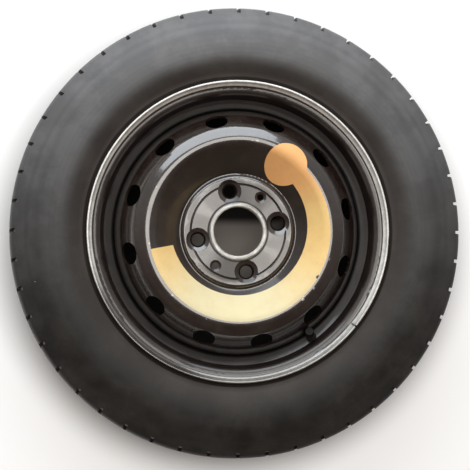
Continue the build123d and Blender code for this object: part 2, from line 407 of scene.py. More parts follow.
class RingBand(SharedEffect):
    """Soft band round the wheel between two radii, broken up by noise."""

    title = "ring band"
    settings = Band
    gap_octaves: Octaves = (4.0, 0.65)
    gap_edge: Range = (0.40, 0.62)

    def __init__(self, place: WheelPlace) -> None:
        """Keep the place effect that the band measures by.

        Args:
            place: Effect that gives the radius.
        """
        super().__init__()
        self.place = place

    def wire(self, bench: NodeBench, entry: Node, leave: Node) -> None:
        """Measure the distance from the ring and break the edge.

        Args:
            bench: Bench on the group's tree.
            entry: Node that holds the inputs.
            leave: Node that holds the outputs.
        """
        half = entry.outputs["Half Width"]
        away = bench.gap(self.place.on(bench).outputs["Radius"], entry.outputs["Radius"])
        band = bench.span(away, bench.plus(half, entry.outputs["Softness"]), half)
        noise = bench.noise(bench.point(), entry.outputs["Scale"], *self.gap_octaves)
        gaps = bench.times(entry.outputs["Breakup"], bench.rest(bench.span(noise, *self.gap_edge)))
        bench.feed(leave.inputs["Mask"], bench.times(band, bench.rest(gaps)))


class SettledDust(SharedEffect):
    """Dust that lies in patches and on faces that look up."""

    title = "settled dust"
    settings = Dust
    broad_octaves: Octaves = (5.0, 0.6)
    broad_edge: Range = (0.38, 0.72)
    fine_factor = 22.0
    fine_octaves: Octaves = (3.0, 0.7)
    fine_edge: Range = (0.42, 0.75)
    fine_share = 0.45
    up_edge: Range = (0.1, 0.95)

    def wire(self, bench: NodeBench, entry: Node, leave: Node) -> None:
        """Join a broad patch, a fine grain and the way the face looks.

        Args:
            bench: Bench on the group's tree.
            entry: Node that holds the inputs.
            leave: Node that holds the outputs.
        """
        point = bench.point()
        scale = entry.outputs["Scale"]
        broad = bench.span(bench.noise(point, scale, *self.broad_octaves), *self.broad_edge)
        fine = bench.noise(point, bench.times(scale, self.fine_factor), *self.fine_octaves)
        fine = bench.times(bench.span(fine, *self.fine_edge), self.fine_share)
        patch = bench.times(broad, bench.plus(1.0 - self.fine_share, fine))
        lie = bench.times(entry.outputs["Lie"], bench.rest(bench.span(bench.upward(), *self.up_edge)))
        kept = bench.times(patch, bench.rest(lie))
        mask = bench.math(Operation.MULTIPLY, kept, entry.outputs["Amount"], clamp=True)
        bench.feed(leave.inputs["Mask"], mask)


class FineGrain(SharedEffect):
    """Two scales of unevenness, for bump and for small changes of tone."""

    title = "fine grain"
    settings = Grain
    gives = ("Height", "Tone")
    coarse_octaves: Octaves = (2.0, 0.5)
    fine_octaves: Octaves = (3.0, 0.6)
    tone_octaves: Octaves = (6.0, 0.62)

    def wire(self, bench: NodeBench, entry: Node, leave: Node) -> None:
        """Mix a coarse and a fine noise by the balance.

        Args:
            bench: Bench on the group's tree.
            entry: Node that holds the inputs.
            leave: Node that holds the outputs.
        """
        point = bench.point()
        coarse = bench.noise(point, entry.outputs["Coarse"], *self.coarse_octaves)
        fine = bench.noise(point, entry.outputs["Fine"], *self.fine_octaves)
        step = bench.times(bench.minus(fine, coarse), entry.outputs["Balance"])
        tone = bench.noise(point, entry.outputs["Coarse"], *self.tone_octaves)
        bench.feed(leave.inputs["Height"], bench.plus(coarse, step))
        bench.feed(leave.inputs["Tone"], tone)


class StraySpecks(SharedEffect):
    """Sparse small spots, such as paint specks, chips and grit."""

    title = "stray specks"
    settings = Specks
    ragged_factor = 9.0
    ragged_detail = 2.0
    ragged_share = 0.6
    reach_share = 0.7

    def wire(self, bench: NodeBench, entry: Node, leave: Node) -> None:
        """Draw a ragged spot in some of the cells of a random grid.

        Args:
            bench: Bench on the group's tree.
            entry: Node that holds the inputs.
            leave: Node that holds the outputs.
        """
        point = bench.point()
        scale, size = entry.outputs["Scale"], entry.outputs["Size"]
        cells = bench.node("TexVoronoi", feature="F1")
        bench.feed(cells.inputs["Vector"], point)
        bench.feed(cells.inputs["Scale"], scale)
        split = bench.node("SeparateColor")
        bench.feed(split.inputs[0], cells.outputs["Color"])
        picked = bench.math(Operation.LESS_THAN, split.outputs[0], entry.outputs["Share"])
        noise = bench.noise(point, bench.times(scale, self.ragged_factor), self.ragged_detail)
        ragged = bench.times(bench.times(noise, size), self.ragged_share)
        reach = bench.times(bench.times(split.outputs[1], size), self.reach_share)
        spot = bench.math(Operation.LESS_THAN, cells.outputs["Distance"], bench.plus(ragged, reach))
        bench.feed(leave.inputs["Mask"], bench.times(spot, picked))


@dataclass
class Effects:
    """The effects that the finishes share."""

    place: WheelPlace
    band: RingBand
    dust: SettledDust
    grain: FineGrain
    specks: StraySpecks

    @classmethod
    def make(cls) -> "Effects":
        """Make one of each effect."""
        place = WheelPlace()
        return cls(place, RingBand(place), SettledDust(), FineGrain(), StraySpecks())

    def ring(self, bench: NodeBench, band: Band, strength: Value) -> Socket:
        """Mask of a ring round the wheel, at a strength."""
        return bench.times(self.band.on(bench, band).outputs["Mask"], strength)

    def wave(self, bench: NodeBench, clock: float, count: int) -> Socket:
        """Wave round the wheel, from -1 to 1.

        Args:
            bench: Bench on the tree.
            clock: Clock angle of one crest, in turns.
            count: Crests in a turn.

        Returns:
            The wave.
        """
        turn = bench.minus(self.place.on(bench).outputs["Clock"], clock)
        return bench.math(Operation.COSINE, bench.times(turn, math.tau * count))


@dataclass(frozen=True)
class Finish:
    """Base of a finish: its name and the plain values of its shader."""

    name: str = "finish"
    metallic: float = 0.0
    ior: float = 1.5
    specular: float = 0.5
    coat_roughness: float = 0.05
    coat_ior: float = 1.5

    def material(self, effects: Effects) -> Material:
        """Make the finish's material.

        Args:
            effects: Shared effects.

        Returns:
            The material.
        """
        made = bpy.data.materials.new(self.name)
        made.use_nodes = True
        shader = made.node_tree.nodes[SHADER]
        shader.inputs["Metallic"].default_value = self.metallic
        shader.inputs["IOR"].default_value = self.ior
        shader.inputs["Specular IOR Level"].default_value = self.specular
        shader.inputs["Coat Roughness"].default_value = self.coat_roughness
        shader.inputs["Coat IOR"].default_value = self.coat_ior
        self.dress(NodeBench(made.node_tree), shader, effects)
        return made

    def dress(self, bench: NodeBench, shader: Node, effects: Effects) -> None:
        """Wire what changes over the surface.

        Args:
            bench: Bench on the material's tree.
            shader: The material's Principled shader.
            effects: Shared effects.
        """
        raise NotImplementedError

    @staticmethod
    def bump(bench: NodeBench, shader: Node, height: Socket, depth: float) -> None:
        """Raise the surface by a height that is scaled to a depth in metres.

        Args:
            bench: Bench on the material's tree.
            shader: The material's Principled shader.
            height: Height between 0 and 1.
            depth: Real depth of the relief.
        """
        made = bench.node("Bump")
        bench.feed(made.inputs["Strength"], 1.0)
        bench.feed(made.inputs["Distance"], depth)
        bench.feed(made.inputs["Height"], height)
        bench.feed(shader.inputs["Normal"], made.outputs["Normal"])


@dataclass(frozen=True)
class TyreRubber(Finish):
    """Aged black rubber with a brown bloom by the rim, dust, a few paint specks, and a grey of dust and
    painted sheen on the upper sidewall towards the window.
    """

    name: str = "tyre_rubber"
    specular: float = 0.35
    fresh: Colour = (0.012, 0.0107, 0.0100)
    aged: Colour = (0.027, 0.0250, 0.0230)
    greyed: Colour = (0.180, 0.180, 0.185)
    bloom: Colour = (0.042, 0.033, 0.028)
    dusty: Colour = (0.17, 0.155, 0.135)
    spotted: Colour = (0.55, 0.50, 0.42)
    grain: Grain = Grain(coarse=26.0, fine=1600.0, balance=0.55)
    dust: Dust = Dust(scale=16.0, amount=0.17, lie=0.55)
    specks: Specks = Specks(scale=46.0, size=0.055, share=0.035)
    tone_edge: Range = (0.35, 0.68)
    grey_rise: Range = (-0.16, 0.27)
    grey_reach: Range = (0.195, 0.215)
    grey_look: Ramp = (-0.2, 0.45, 0.3, 1.0)
    grey_share: Range = (0.68, 0.90)
    ring_scale: float = 95.0
    ring_octaves: Octaves = (4.0, 0.6)
    ring_edge: Range = (0.42, 0.62)
    ring_share: float = 0.17
    bloom_reach: Range = (0.214, 0.186)
    bloom_share: float = 0.75
    roughness: Ramp = (0.3, 0.75, 0.50, 0.64)
    relief: float = 0.00022

    def dress(self, bench: NodeBench, shader: Node, effects: Effects) -> None:
        """Blend the tones, grey the upper sidewall with dust and painted sheen, then add bloom, dust,
        specks and a moulded grain.

        Args:
            bench: Bench on the material's tree.
            shader: The material's Principled shader.
            effects: Shared effects.
        """
        radius = effects.place.on(bench).outputs["Radius"]
        grain = effects.grain.on(bench, self.grain)
        tone = bench.span(grain.outputs["Tone"], *self.tone_edge)
        colour = bench.mix(tone, self.fresh, self.aged)
        # Dust and painted sheen: faces that look up turn grey towards the top of the picture (+Y), the
        # window side where the light falls.
        grey = bench.span(bench.parts(bench.point())[1], *self.grey_rise)
        grey = bench.times(grey, bench.span(radius, *self.grey_reach))
        grey = bench.times(grey, bench.span(bench.upward(), *self.grey_look))
        grey = bench.times(grey, bench.span(tone, 0.0, 1.0, *self.grey_share))
        colour = bench.mix(grey, colour, self.greyed)
        rings = bench.noise(bench.join(radius), self.ring_scale, *self.ring_octaves)
        rings = bench.times(bench.span(rings, *self.ring_edge), self.ring_share)
        colour = bench.mix(rings, colour, self.fresh)
        near_rim = bench.times(bench.span(radius, *self.bloom_reach), self.bloom_share)
        colour = bench.mix(near_rim, colour, self.bloom)
        colour = bench.mix(effects.dust.on(bench, self.dust).outputs["Mask"], colour, self.dusty)
        colour = bench.mix(effects.specks.on(bench, self.specks).outputs["Mask"], colour, self.spotted)
        bench.feed(shader.inputs["Base Color"], colour)
        bench.feed(shader.inputs["Roughness"], bench.span(grain.outputs["Tone"], *self.roughness))
        self.bump(bench, shader, grain.outputs["Height"], self.relief)


@dataclass(frozen=True)
class BlackEnamel(Finish):
    """Gloss black stove enamel on pressed steel, with orange peel, dust, chipped ridges, worn lips with a
    painted highlight, and painted shade deep in the wheel and at the bore lip's foot.
    """

    name: str = "black_enamel"
    specular: float = 0.6
    coat_roughness: float = 0.08
    coat_ior: float = 1.85
    enamel: Colour = (0.0105, 0.0050, 0.0036)
    hazed: Colour = (0.026, 0.0150, 0.0108)
    dusty: Colour = (0.16, 0.135, 0.11)
    chipped: Colour = (0.42, 0.40, 0.36)
    # Lip tones: worn paint with a painted highlight, near white except at the bottom of the picture, where
    # the light falls less.
    rubbed: Colour = (0.30, 0.285, 0.26)
    lip_highlight_top: Colour = (0.95, 0.93, 0.88)
    # Near black used for painted shade.
    primer: Colour = (0.0032, 0.0028, 0.0025)
    grain: Grain = Grain(coarse=150.0, fine=700.0, balance=0.35)
    dust: Dust = Dust(scale=34.0, amount=0.16, lie=0.7)
    chips: Specks = Specks(scale=150.0, size=0.34, share=0.14)
    haze_edge: Range = (0.35, 0.75)
    haze_share: float = 0.35
    gloss_roughness: Range = (0.16, 0.26)
    dull_roughness: float = 0.4
    relief: float = 0.00010
    ridge: Band = Band(radius=0.1088, half_width=0.0012, softness=0.0016)
    lip: Band = Band(radius=0.1768, half_width=0.0028, softness=0.0009, breakup=0.2)
    lip_wear: Range = (0.92, 0.138)
    lip_dim_clock: float = -138.0 / FULL_TURN
    lip_dim_reach: Range = (0.11, 0.05)
    lip_highlight_rise: Range = (-0.18, -0.06)
    bore_lip: Band = Band(radius=0.0318, half_width=0.0022, softness=0.0012, breakup=0.3)
    bore_lip_wear: float = 0.55
    lip_foot: Band = Band(radius=0.0358, half_width=0.0006, softness=0.0010)
    lip_foot_shade: float = 0.9
    channel: Band = Band(radius=0.1550, half_width=0.0150, softness=0.003)
    channel_dull: float = 0.65
    dish: Band = Band(radius=0.0850, half_width=0.0120, softness=0.005)
    dish_dull: float = 0.7
    deep_shade_reach: Range = (0.102, 0.090)
    deep_shade_share: float = 0.8
    pad: Band = Band(radius=0.0470, half_width=0.0110, softness=0.006)
    land_clock: float = 32.0 / FULL_TURN
    land_count: int = 4
    land_rise: float = 30.0
    film_clock: float = 12.0 / FULL_TURN
    film_count: int = 2
    film_edge: Range = (0.0, 0.8)
    film_dull: float = 0.62
    seam_clock: float = 129.1 / FULL_TURN
    seam_edge: Range = (0.0016, 0.0008)
    seam_reach: Range = (0.152, 0.155)
    seam_share: float = 0.85

    def dress(self, bench: NodeBench, shader: Node, effects: Effects) -> None:
        """Lay enamel, haze, dust, chips, worn lips with a painted highlight and painted shade, then the
        orange peel of a dipped coat.

        Args:
            bench: Bench on the material's tree.
            shader: The material's Principled shader.
            effects: Shared effects.
        """
        grain = effects.grain.on(bench, self.grain)
        dust = effects.dust.on(bench, self.dust).outputs["Mask"]
        # Painted shade: a near-black line in the corner at the foot of the bore lip.
        foot_shade = effects.ring(bench, self.lip_foot, self.lip_foot_shade)
        haze = bench.span(grain.outputs["Tone"], *self.haze_edge)
        colour = bench.mix(bench.times(haze, self.haze_share), self.enamel, self.hazed)
        colour = self.wear(bench, effects, bench.mix(dust, colour, self.dusty))
        colour = bench.mix(self.seam(bench, effects), colour, self.enamel)
        # Painted shade: the enamel darkens towards near black from a height of 0.102 m down to 0.090 m,
        # deep inside the wheel.
        deep_shade = bench.span(effects.place.on(bench).outputs["Height"], *self.deep_shade_reach)
        colour = bench.mix(bench.times(deep_shade, self.deep_shade_share), colour, self.primer)
        bench.feed(shader.inputs["Base Color"], bench.mix(foot_shade, colour, self.primer))
        dull = effects.ring(bench, self.dish, self.dish_dull)
        channel = effects.ring(bench, self.channel, self.channel_dull)
        for layer in (channel, dust, self.film(bench, effects), foot_shade):
            dull = bench.most(dull, layer)
        gloss = bench.span(haze, 0.0, 1.0, *self.gloss_roughness)
        bench.feed(shader.inputs["Roughness"], bench.plus(gloss, bench.times(dull, self.dull_roughness)))
        bench.feed(shader.inputs["Coat Weight"], bench.math(Operation.SUBTRACT, 1.0, dull, clamp=True))
        relief = bench.plus(grain.outputs["Height"], self.lands(bench, effects))
        self.bump(bench, shader, relief, self.relief)

    def wear(self, bench: NodeBench, effects: Effects, colour: Socket) -> Socket:
        """Chip the disc's ridge, and lighten the lips of the flange and the bore as worn paint with a
        painted highlight.

        Args:
            bench: Bench on the material's tree.
            effects: Shared effects.
            colour: Colour of the sound coat.

        Returns:
            The colour with the chipped ridge and the highlighted lips.
        """
        specks = effects.specks.on(bench, self.chips).outputs["Mask"]
        colour = bench.mix(effects.ring(bench, self.ridge, specks), colour, self.chipped)
        # Painted highlight on the lips: full strength all round but dimmed about the lower left, and
        # lighter towards the top of the picture.
        away = bench.gap(effects.place.on(bench).outputs["Clock"], self.lip_dim_clock)
        wear = bench.span(away, *self.lip_dim_reach, *self.lip_wear)
        rise = bench.span(bench.parts(bench.point())[1], *self.lip_highlight_rise)
        rubbed = bench.mix(rise, self.rubbed, self.lip_highlight_top)
        colour = bench.mix(effects.ring(bench, self.lip, wear), colour, rubbed)
        return bench.mix(effects.ring(bench, self.bore_lip, self.bore_lip_wear), colour, rubbed)

    def lands(self, bench: NodeBench, effects: Effects) -> Socket:
        """Height of the soft lands between the bolt seats, in units of the coat's own relief."""
        wave = effects.wave(bench, self.land_clock, self.land_count)
        return bench.times(effects.ring(bench, self.pad, wave), self.land_rise)

    def film(self, bench: NodeBench, effects: Effects) -> Socket:
        """Strength of the dull film on the hub's pad, at its top and its foot."""
        wave = bench.span(effects.wave(bench, self.film_clock, self.film_count), *self.film_edge)
        return bench.times(effects.ring(bench, self.pad, wave), self.film_dull)

    def seam(self, bench: NodeBench, effects: Effects) -> Socket:
        """Mask of the butt weld that closes the rolled rim, outside the disc.

        Args:
            bench: Bench on the material's tree.
            effects: Shared effects.

        Returns:
            The mask.
        """
        place = effects.place.on(bench)
        turn = bench.times(bench.gap(place.outputs["Clock"], self.seam_clock), math.tau)
        line = bench.span(bench.times(turn, place.outputs["Radius"]), *self.seam_edge)
        line = bench.times(line, bench.span(place.outputs["Radius"], *self.seam_reach))
        return bench.times(line, self.seam_share)


@dataclass(frozen=True)
class OrangeFilm(Finish):
    """Orange vinyl film, faded from its head, painted pale at the bottom of the band as glare where it
    faces the light, a little uneven, with a nick.
    """

    name: str = "orange_film"
    specular: float = 0.3
    strong: Colour = (1.0, 0.53, 0.21)
    faded: Colour = (0.97, 0.67, 0.27)
    pale: Colour = (0.79, 0.71, 0.44)
    soiled: Colour = (0.60, 0.33, 0.15)
    bare: Colour = (0.030, 0.020, 0.015)
    grain: Grain = Grain(coarse=42.0, fine=520.0, balance=0.3)
    dust: Dust = Dust(scale=60.0, amount=0.22, lie=0.2)
    head_clock: float = 34.7 / FULL_TURN
    behind_head: float = -0.15
    tone_middle: float = 0.5
    ragged_share: float = 0.05
    fade_reach: Range = (0.03, 0.12)
    pale_start: Range = (0.16, 0.36)
    pale_end: Range = (0.64, 0.48)
    roughness: Ramp = (0.3, 0.7, 0.40, 0.54)
    relief: float = 0.00012
    nick_place: Place = (0.0921, -0.0547)
    nick_scale: float = 900.0
    nick_ragged: float = 0.0026
    nick_edge: Range = (0.00416, 0.00338)

    def dress(self, bench: NodeBench, shader: Node, effects: Effects) -> None:
        """Fade the film from its head along the band, paint it pale at the bottom as glare of the light,
        and soil it a little.

        Args:
            bench: Bench on the material's tree.
            shader: The material's Principled shader.
            effects: Shared effects.
        """
        ahead = bench.minus(effects.place.on(bench).outputs["Clock"], self.head_clock)
        around = bench.plus(ahead, bench.math(Operation.LESS_THAN, ahead, self.behind_head))
        grain = effects.grain.on(bench, self.grain)
        ragged = bench.times(bench.minus(grain.outputs["Tone"], self.tone_middle), self.ragged_share)
        along = bench.plus(around, ragged)
        colour = bench.mix(bench.span(along, *self.fade_reach), self.strong, self.faded)
        # Painted glare: the film turns pale at the bottom of the band, where it faces the light.
        painted_glare = bench.times(bench.span(along, *self.pale_start), bench.span(along, *self.pale_end))
        colour = bench.mix(painted_glare, colour, self.pale)
        colour = bench.mix(effects.dust.on(bench, self.dust).outputs["Mask"], colour, self.soiled)
        bench.feed(shader.inputs["Base Color"], bench.mix(self.nick(bench), colour, self.bare))
        bench.feed(shader.inputs["Roughness"], bench.span(grain.outputs["Tone"], *self.roughness))
        self.bump(bench, shader, grain.outputs["Height"], self.relief)

    def nick(self, bench: NodeBench) -> Socket:
        """Mask of the spot at the outer edge where the film is torn away.

        Args:
            bench: Bench on the material's tree.

        Returns:
            The mask.
        """
        point = bench.point()
        offsets = [bench.minus(here, nick) for here, nick in zip(bench.parts(point), self.nick_place)]
        ragged = bench.times(bench.noise(point, self.nick_scale), self.nick_ragged)
        return bench.span(bench.plus(bench.length(bench.join(*offsets)), ragged), *self.nick_edge)


@dataclass(frozen=True)
class DustedMoulding(Finish):
    """Base of the moulded black finishes of the valve, dusted and finely grained."""

    base: Colour = (0.022, 0.021, 0.020)
    dusty: Colour = (0.15, 0.135, 0.115)
    grain: Grain = Grain(coarse=500.0, fine=4000.0, balance=0.5)
    dust: Dust = Dust(scale=220.0, amount=0.45, lie=0.4)
    roughness: Ramp = (0.3, 0.7, 0.48, 0.66)
    relief: float = 0.00004

    def dress(self, bench: NodeBench, shader: Node, effects: Effects) -> None:
        """Dust the moulding and give it a fine skin.

        Args:
            bench: Bench on the material's tree.
            shader: The material's Principled shader.
            effects: Shared effects.
        """
        dust = effects.dust.on(bench, self.dust).outputs["Mask"]
        grain = effects.grain.on(bench, self.grain)
        bench.feed(shader.inputs["Base Color"], bench.mix(dust, self.base, self.dusty))
        bench.feed(shader.inputs["Roughness"], bench.span(grain.outputs["Tone"], *self.roughness))
        self.bump(bench, shader, grain.outputs["Height"], self.relief)


@dataclass(frozen=True)
class ValveRubber(DustedMoulding):
    """Soft black rubber of the valve body."""

    name: str = "valve_rubber"
    specular: float = 0.4


@dataclass(frozen=True)
class SealRubber(ValveRubber):
    """Cleaner rubber of the seals inside the valve."""

    name: str = "seal_rubber"
    dust: Dust = Dust(scale=220.0, amount=0.1, lie=0.4)


@dataclass(frozen=True)
class CapPlastic(DustedMoulding):
    """Grey-black moulded plastic of the valve cap, a little dusty."""

    name: str = "cap_plastic"
    specular: float = 0.25
    base: Colour = (0.010, 0.0095, 0.009)
    dusty: Colour = (0.030, 0.027, 0.024)
    grain: Grain = Grain(coarse=420.0, fine=3800.0, balance=0.5)
    dust: Dust = Dust(scale=260.0, amount=0.55, lie=0.35)
    roughness: Ramp = (0.3, 0.7, 0.55, 0.75)


@dataclass(frozen=True)
class TurnedMetal(Finish):
    """Base of the turned metals of the valve, with patches of tarnish and a fine grain."""

    metallic: float = 1.0
    bright: Colour = (0.80, 0.60, 0.32)
    tarnished: Colour = (0.36, 0.23, 0.11)
    grain: Grain = Grain(coarse=380.0, fine=5200.0, balance=0.6)
    tarnish_edge: Range = (0.38, 0.66)
    roughness: Range = (0.22, 0.45)
    relief: float = 0.00002

    def dress(self, bench: NodeBench, shader: Node, effects: Effects) -> None:
        """Tarnish the metal in patches and roughen it lightly.

        Args:
            bench: Bench on the material's tree.
            shader: The material's Principled shader.
            effects: Shared effects.
        """
        grain = effects.grain.on(bench, self.grain)
        patches = bench.span(grain.outputs["Tone"], *self.tarnish_edge)
        bench.feed(shader.inputs["Base Color"], bench.mix(patches, self.bright, self.tarnished))
        bench.feed(shader.inputs["Roughness"], bench.span(patches, 0.0, 1.0, *self.roughness))
        self.bump(bench, shader, grain.outputs["Height"], self.relief)


@dataclass(frozen=True)
class ValveBrass(TurnedMetal):
    """Brass of the valve's stem and plug."""

    name: str = "valve_brass"


@dataclass(frozen=True)
class PinSteel(TurnedMetal):
    """Steel of the valve's pin and spring."""

    name: str = "pin_steel"
    bright: Colour = (0.62, 0.61, 0.59)
    tarnished: Colour = (0.30, 0.28, 0.26)


class SectionPen:
    """Draws half a section in the plane through the axle, as a chain of edges."""

    def __init__(self, mesh: Mesh, start: Place, middle: float = 0.0) -> None:
        """Put the pen down.

        Args:
            mesh: Mesh to draw in.
            start: Radius and outboard place of the first point, in millimetres.
            middle: Height of the outboard zero, in millimetres.
        """
        self.mesh = mesh
        self.middle = middle
        self.tip = bmesh.ops.create_vert(mesh, co=self.point(start))["vert"][0]
        self.corners: list[tuple[Vert, float, int]] = []

    def point(self, place: Place) -> Vector:
        """Point of the mesh at a radius and an outboard place in millimetres."""
        return Vector((place[0], 0.0, self.middle + place[1])) * MM

    def line(self, *places: Place) -> "SectionPen":
        """Draw straight runs.

        Args:
            places: Ends of the runs.

        Returns:
            The pen.
        """
        for place in places:
            grown = bmesh.ops.extrude_vert_indiv(self.mesh, verts=[self.tip])
            self.tip = grown["verts"][0]
            self.tip.co = self.point(place)
        return self

    def corner(self, place: Place, radius: float, steps: int) -> "SectionPen":
        """Draw a straight run to a corner that is rounded once the section is done.

        Args:
            place: The corner.
            radius: Radius of its rounding.
            steps: Edges in the rounding.

        Returns:
            The pen.
        """
        self.line(place)
        self.corners.append((self.tip, radius * MM, steps))
        return self

    def arc(self, centre: Place, end: Place, steps: int) -> "SectionPen":
        """Draw an arc from the tip to an end, the short way round a centre.

        Args:
            centre: Centre of the arc.
            end: Where the arc ends.
            steps: Edges in the arc.

        Returns:
            The pen.
        """
        middle = self.point(centre)
        from_arm = self.tip.co - middle
        to_arm = self.point(end) - middle
        turn = from_arm.angle(to_arm)
        if from_arm.cross(to_arm).y < 0.0:
            turn = -turn
        spun = bmesh.ops.spin(
            self.mesh, geom=[self.tip], cent=middle, axis=ACROSS, dvec=ORIGIN, angle=turn, steps=steps
        )
        self.tip = verts_of(spun["geom_last"])[0]
        self.tip.co = self.point(end)
        return self

    def finish(self) -> list[Edge]:
        """Round the marked corners.

        Returns:
            The edges of the section.
        """
        for vert, radius, steps in self.corners:
            arms = [edge.other_vert(vert).co - vert.co for edge in vert.link_edges]
            turn = math.pi - arms[0].angle(arms[1])
            bmesh.ops.bevel(
                self.mesh,
                geom=[vert],
                offset=radius * math.tan(turn / 2.0),
                offset_type="OFFSET",
                segments=steps,
                profile=0.5,
                affect="VERTICES",
                material=-1,
                clamp_overlap=True,
            )
        return list(self.mesh.edges)


def clock_angle(clock: float) -> float:
    """Angle from picture right, in radians, of a clock angle in degrees from picture top."""
    return math.radians(QUARTER_TURN - clock)


def mesh_object(
    name: str, mesh: Mesh, material: Material, sharp_degrees: float = 32.0
) -> Piece:
    """Turn a finished bmesh into an object at the origin.

    Args:
        name: Name of the piece.
        mesh: Its mesh, which is freed.
        material: Its finish.
        sharp_degrees: Edges that bend more than this stay sharp.

    Returns:
        The object, linked to the scene.
    """
    data = bpy.data.meshes.new(name)
    mesh.to_mesh(data)
    mesh.free()
    data.shade_smooth()
    data.set_sharp_from_angle(angle=math.radians(sharp_degrees))
    data.materials.append(material)
    made = bpy.data.objects.new(name, data)
    bpy.context.scene.collection.objects.link(made)
    return made


def close_up(mesh: Mesh) -> None:
    """Merge doubles and turn every face outwards.

    Args:
        mesh: Mesh to close.
    """
    bmesh.ops.remove_doubles(mesh, verts=mesh.verts, dist=MERGE_DISTANCE)
    bmesh.ops.dissolve_degenerate(mesh, edges=mesh.edges, dist=SLIVER_LENGTH)
    bmesh.ops.recalc_face_normals(mesh, faces=mesh.faces)


def cap_ends(mesh: Mesh) -> None:
    """Fill the open ends of a mesh."""
    bmesh.ops.holes_fill(mesh, edges=[edge for edge in mesh.edges if edge.is_boundary], sides=0)


def turn_about_axle(mesh: Mesh, verts: Iterable[Vert], angle: float) -> None:
    """Turn some points about the axle line."""
    bmesh.ops.rotate(mesh, verts=list(verts), cent=ORIGIN, matrix=Matrix.Rotation(angle, 3, "Z"))


def spin_about_axle(
    mesh: Mesh, geometry: Iterable[object], angle: float, steps: int, rise: float = 0.0,
    merge: bool = False,
) -> list[object]:
    """Sweep geometry about the axle line.

    Args:
        mesh: Mesh that holds the geometry.
        geometry: Points and edges to sweep.
        angle: Angle of the whole sweep.
        steps: Steps of the sweep.
        rise: Rise along the axle line at each step, in metres.
        merge: Whether a full turn is closed.

    Returns:
        The geometry of the last step.
    """
    return bmesh.ops.spin(
        mesh, geom=list(geometry), cent=ORIGIN, axis=AXLE, dvec=AXLE * rise, angle=angle, steps=steps,
        use_merge=merge,
    )["geom_last"]


def repeat_about_axle(mesh: Mesh, count: int) -> None:
    """Repeat a mesh evenly round the axle line.

    Args:
        mesh: Mesh to repeat.
        count: Number of repeats in a full turn, with the first.
    """
    steps = count - 1
    bmesh.ops.spin(
        mesh, geom=everything(mesh), cent=ORIGIN, axis=AXLE, dvec=ORIGIN, angle=math.tau * steps / count,
        steps=steps, use_duplicate=True,
    )


def everything(mesh: Mesh) -> list[object]:
    """Points, edges and faces of a mesh."""
    return list(mesh.verts) + list(mesh.edges) + list(mesh.faces)


def verts_of(geometry: Iterable[object]) -> list[Vert]:
    """Vertices among the geometry that an operator gives back."""
    return [item for item in geometry if isinstance(item, Vert)]


def edges_of(geometry: Iterable[object]) -> list[Edge]:
    """Edges among the geometry that an operator gives back."""
    return [item for item in geometry if isinstance(item, Edge)]


@dataclass(frozen=True)
class Rib:
    """Rib round the sidewall in millimetres, with the number of edges across its top."""

    middle: float
    width: float
    height: float
    bank: float
    steps: int


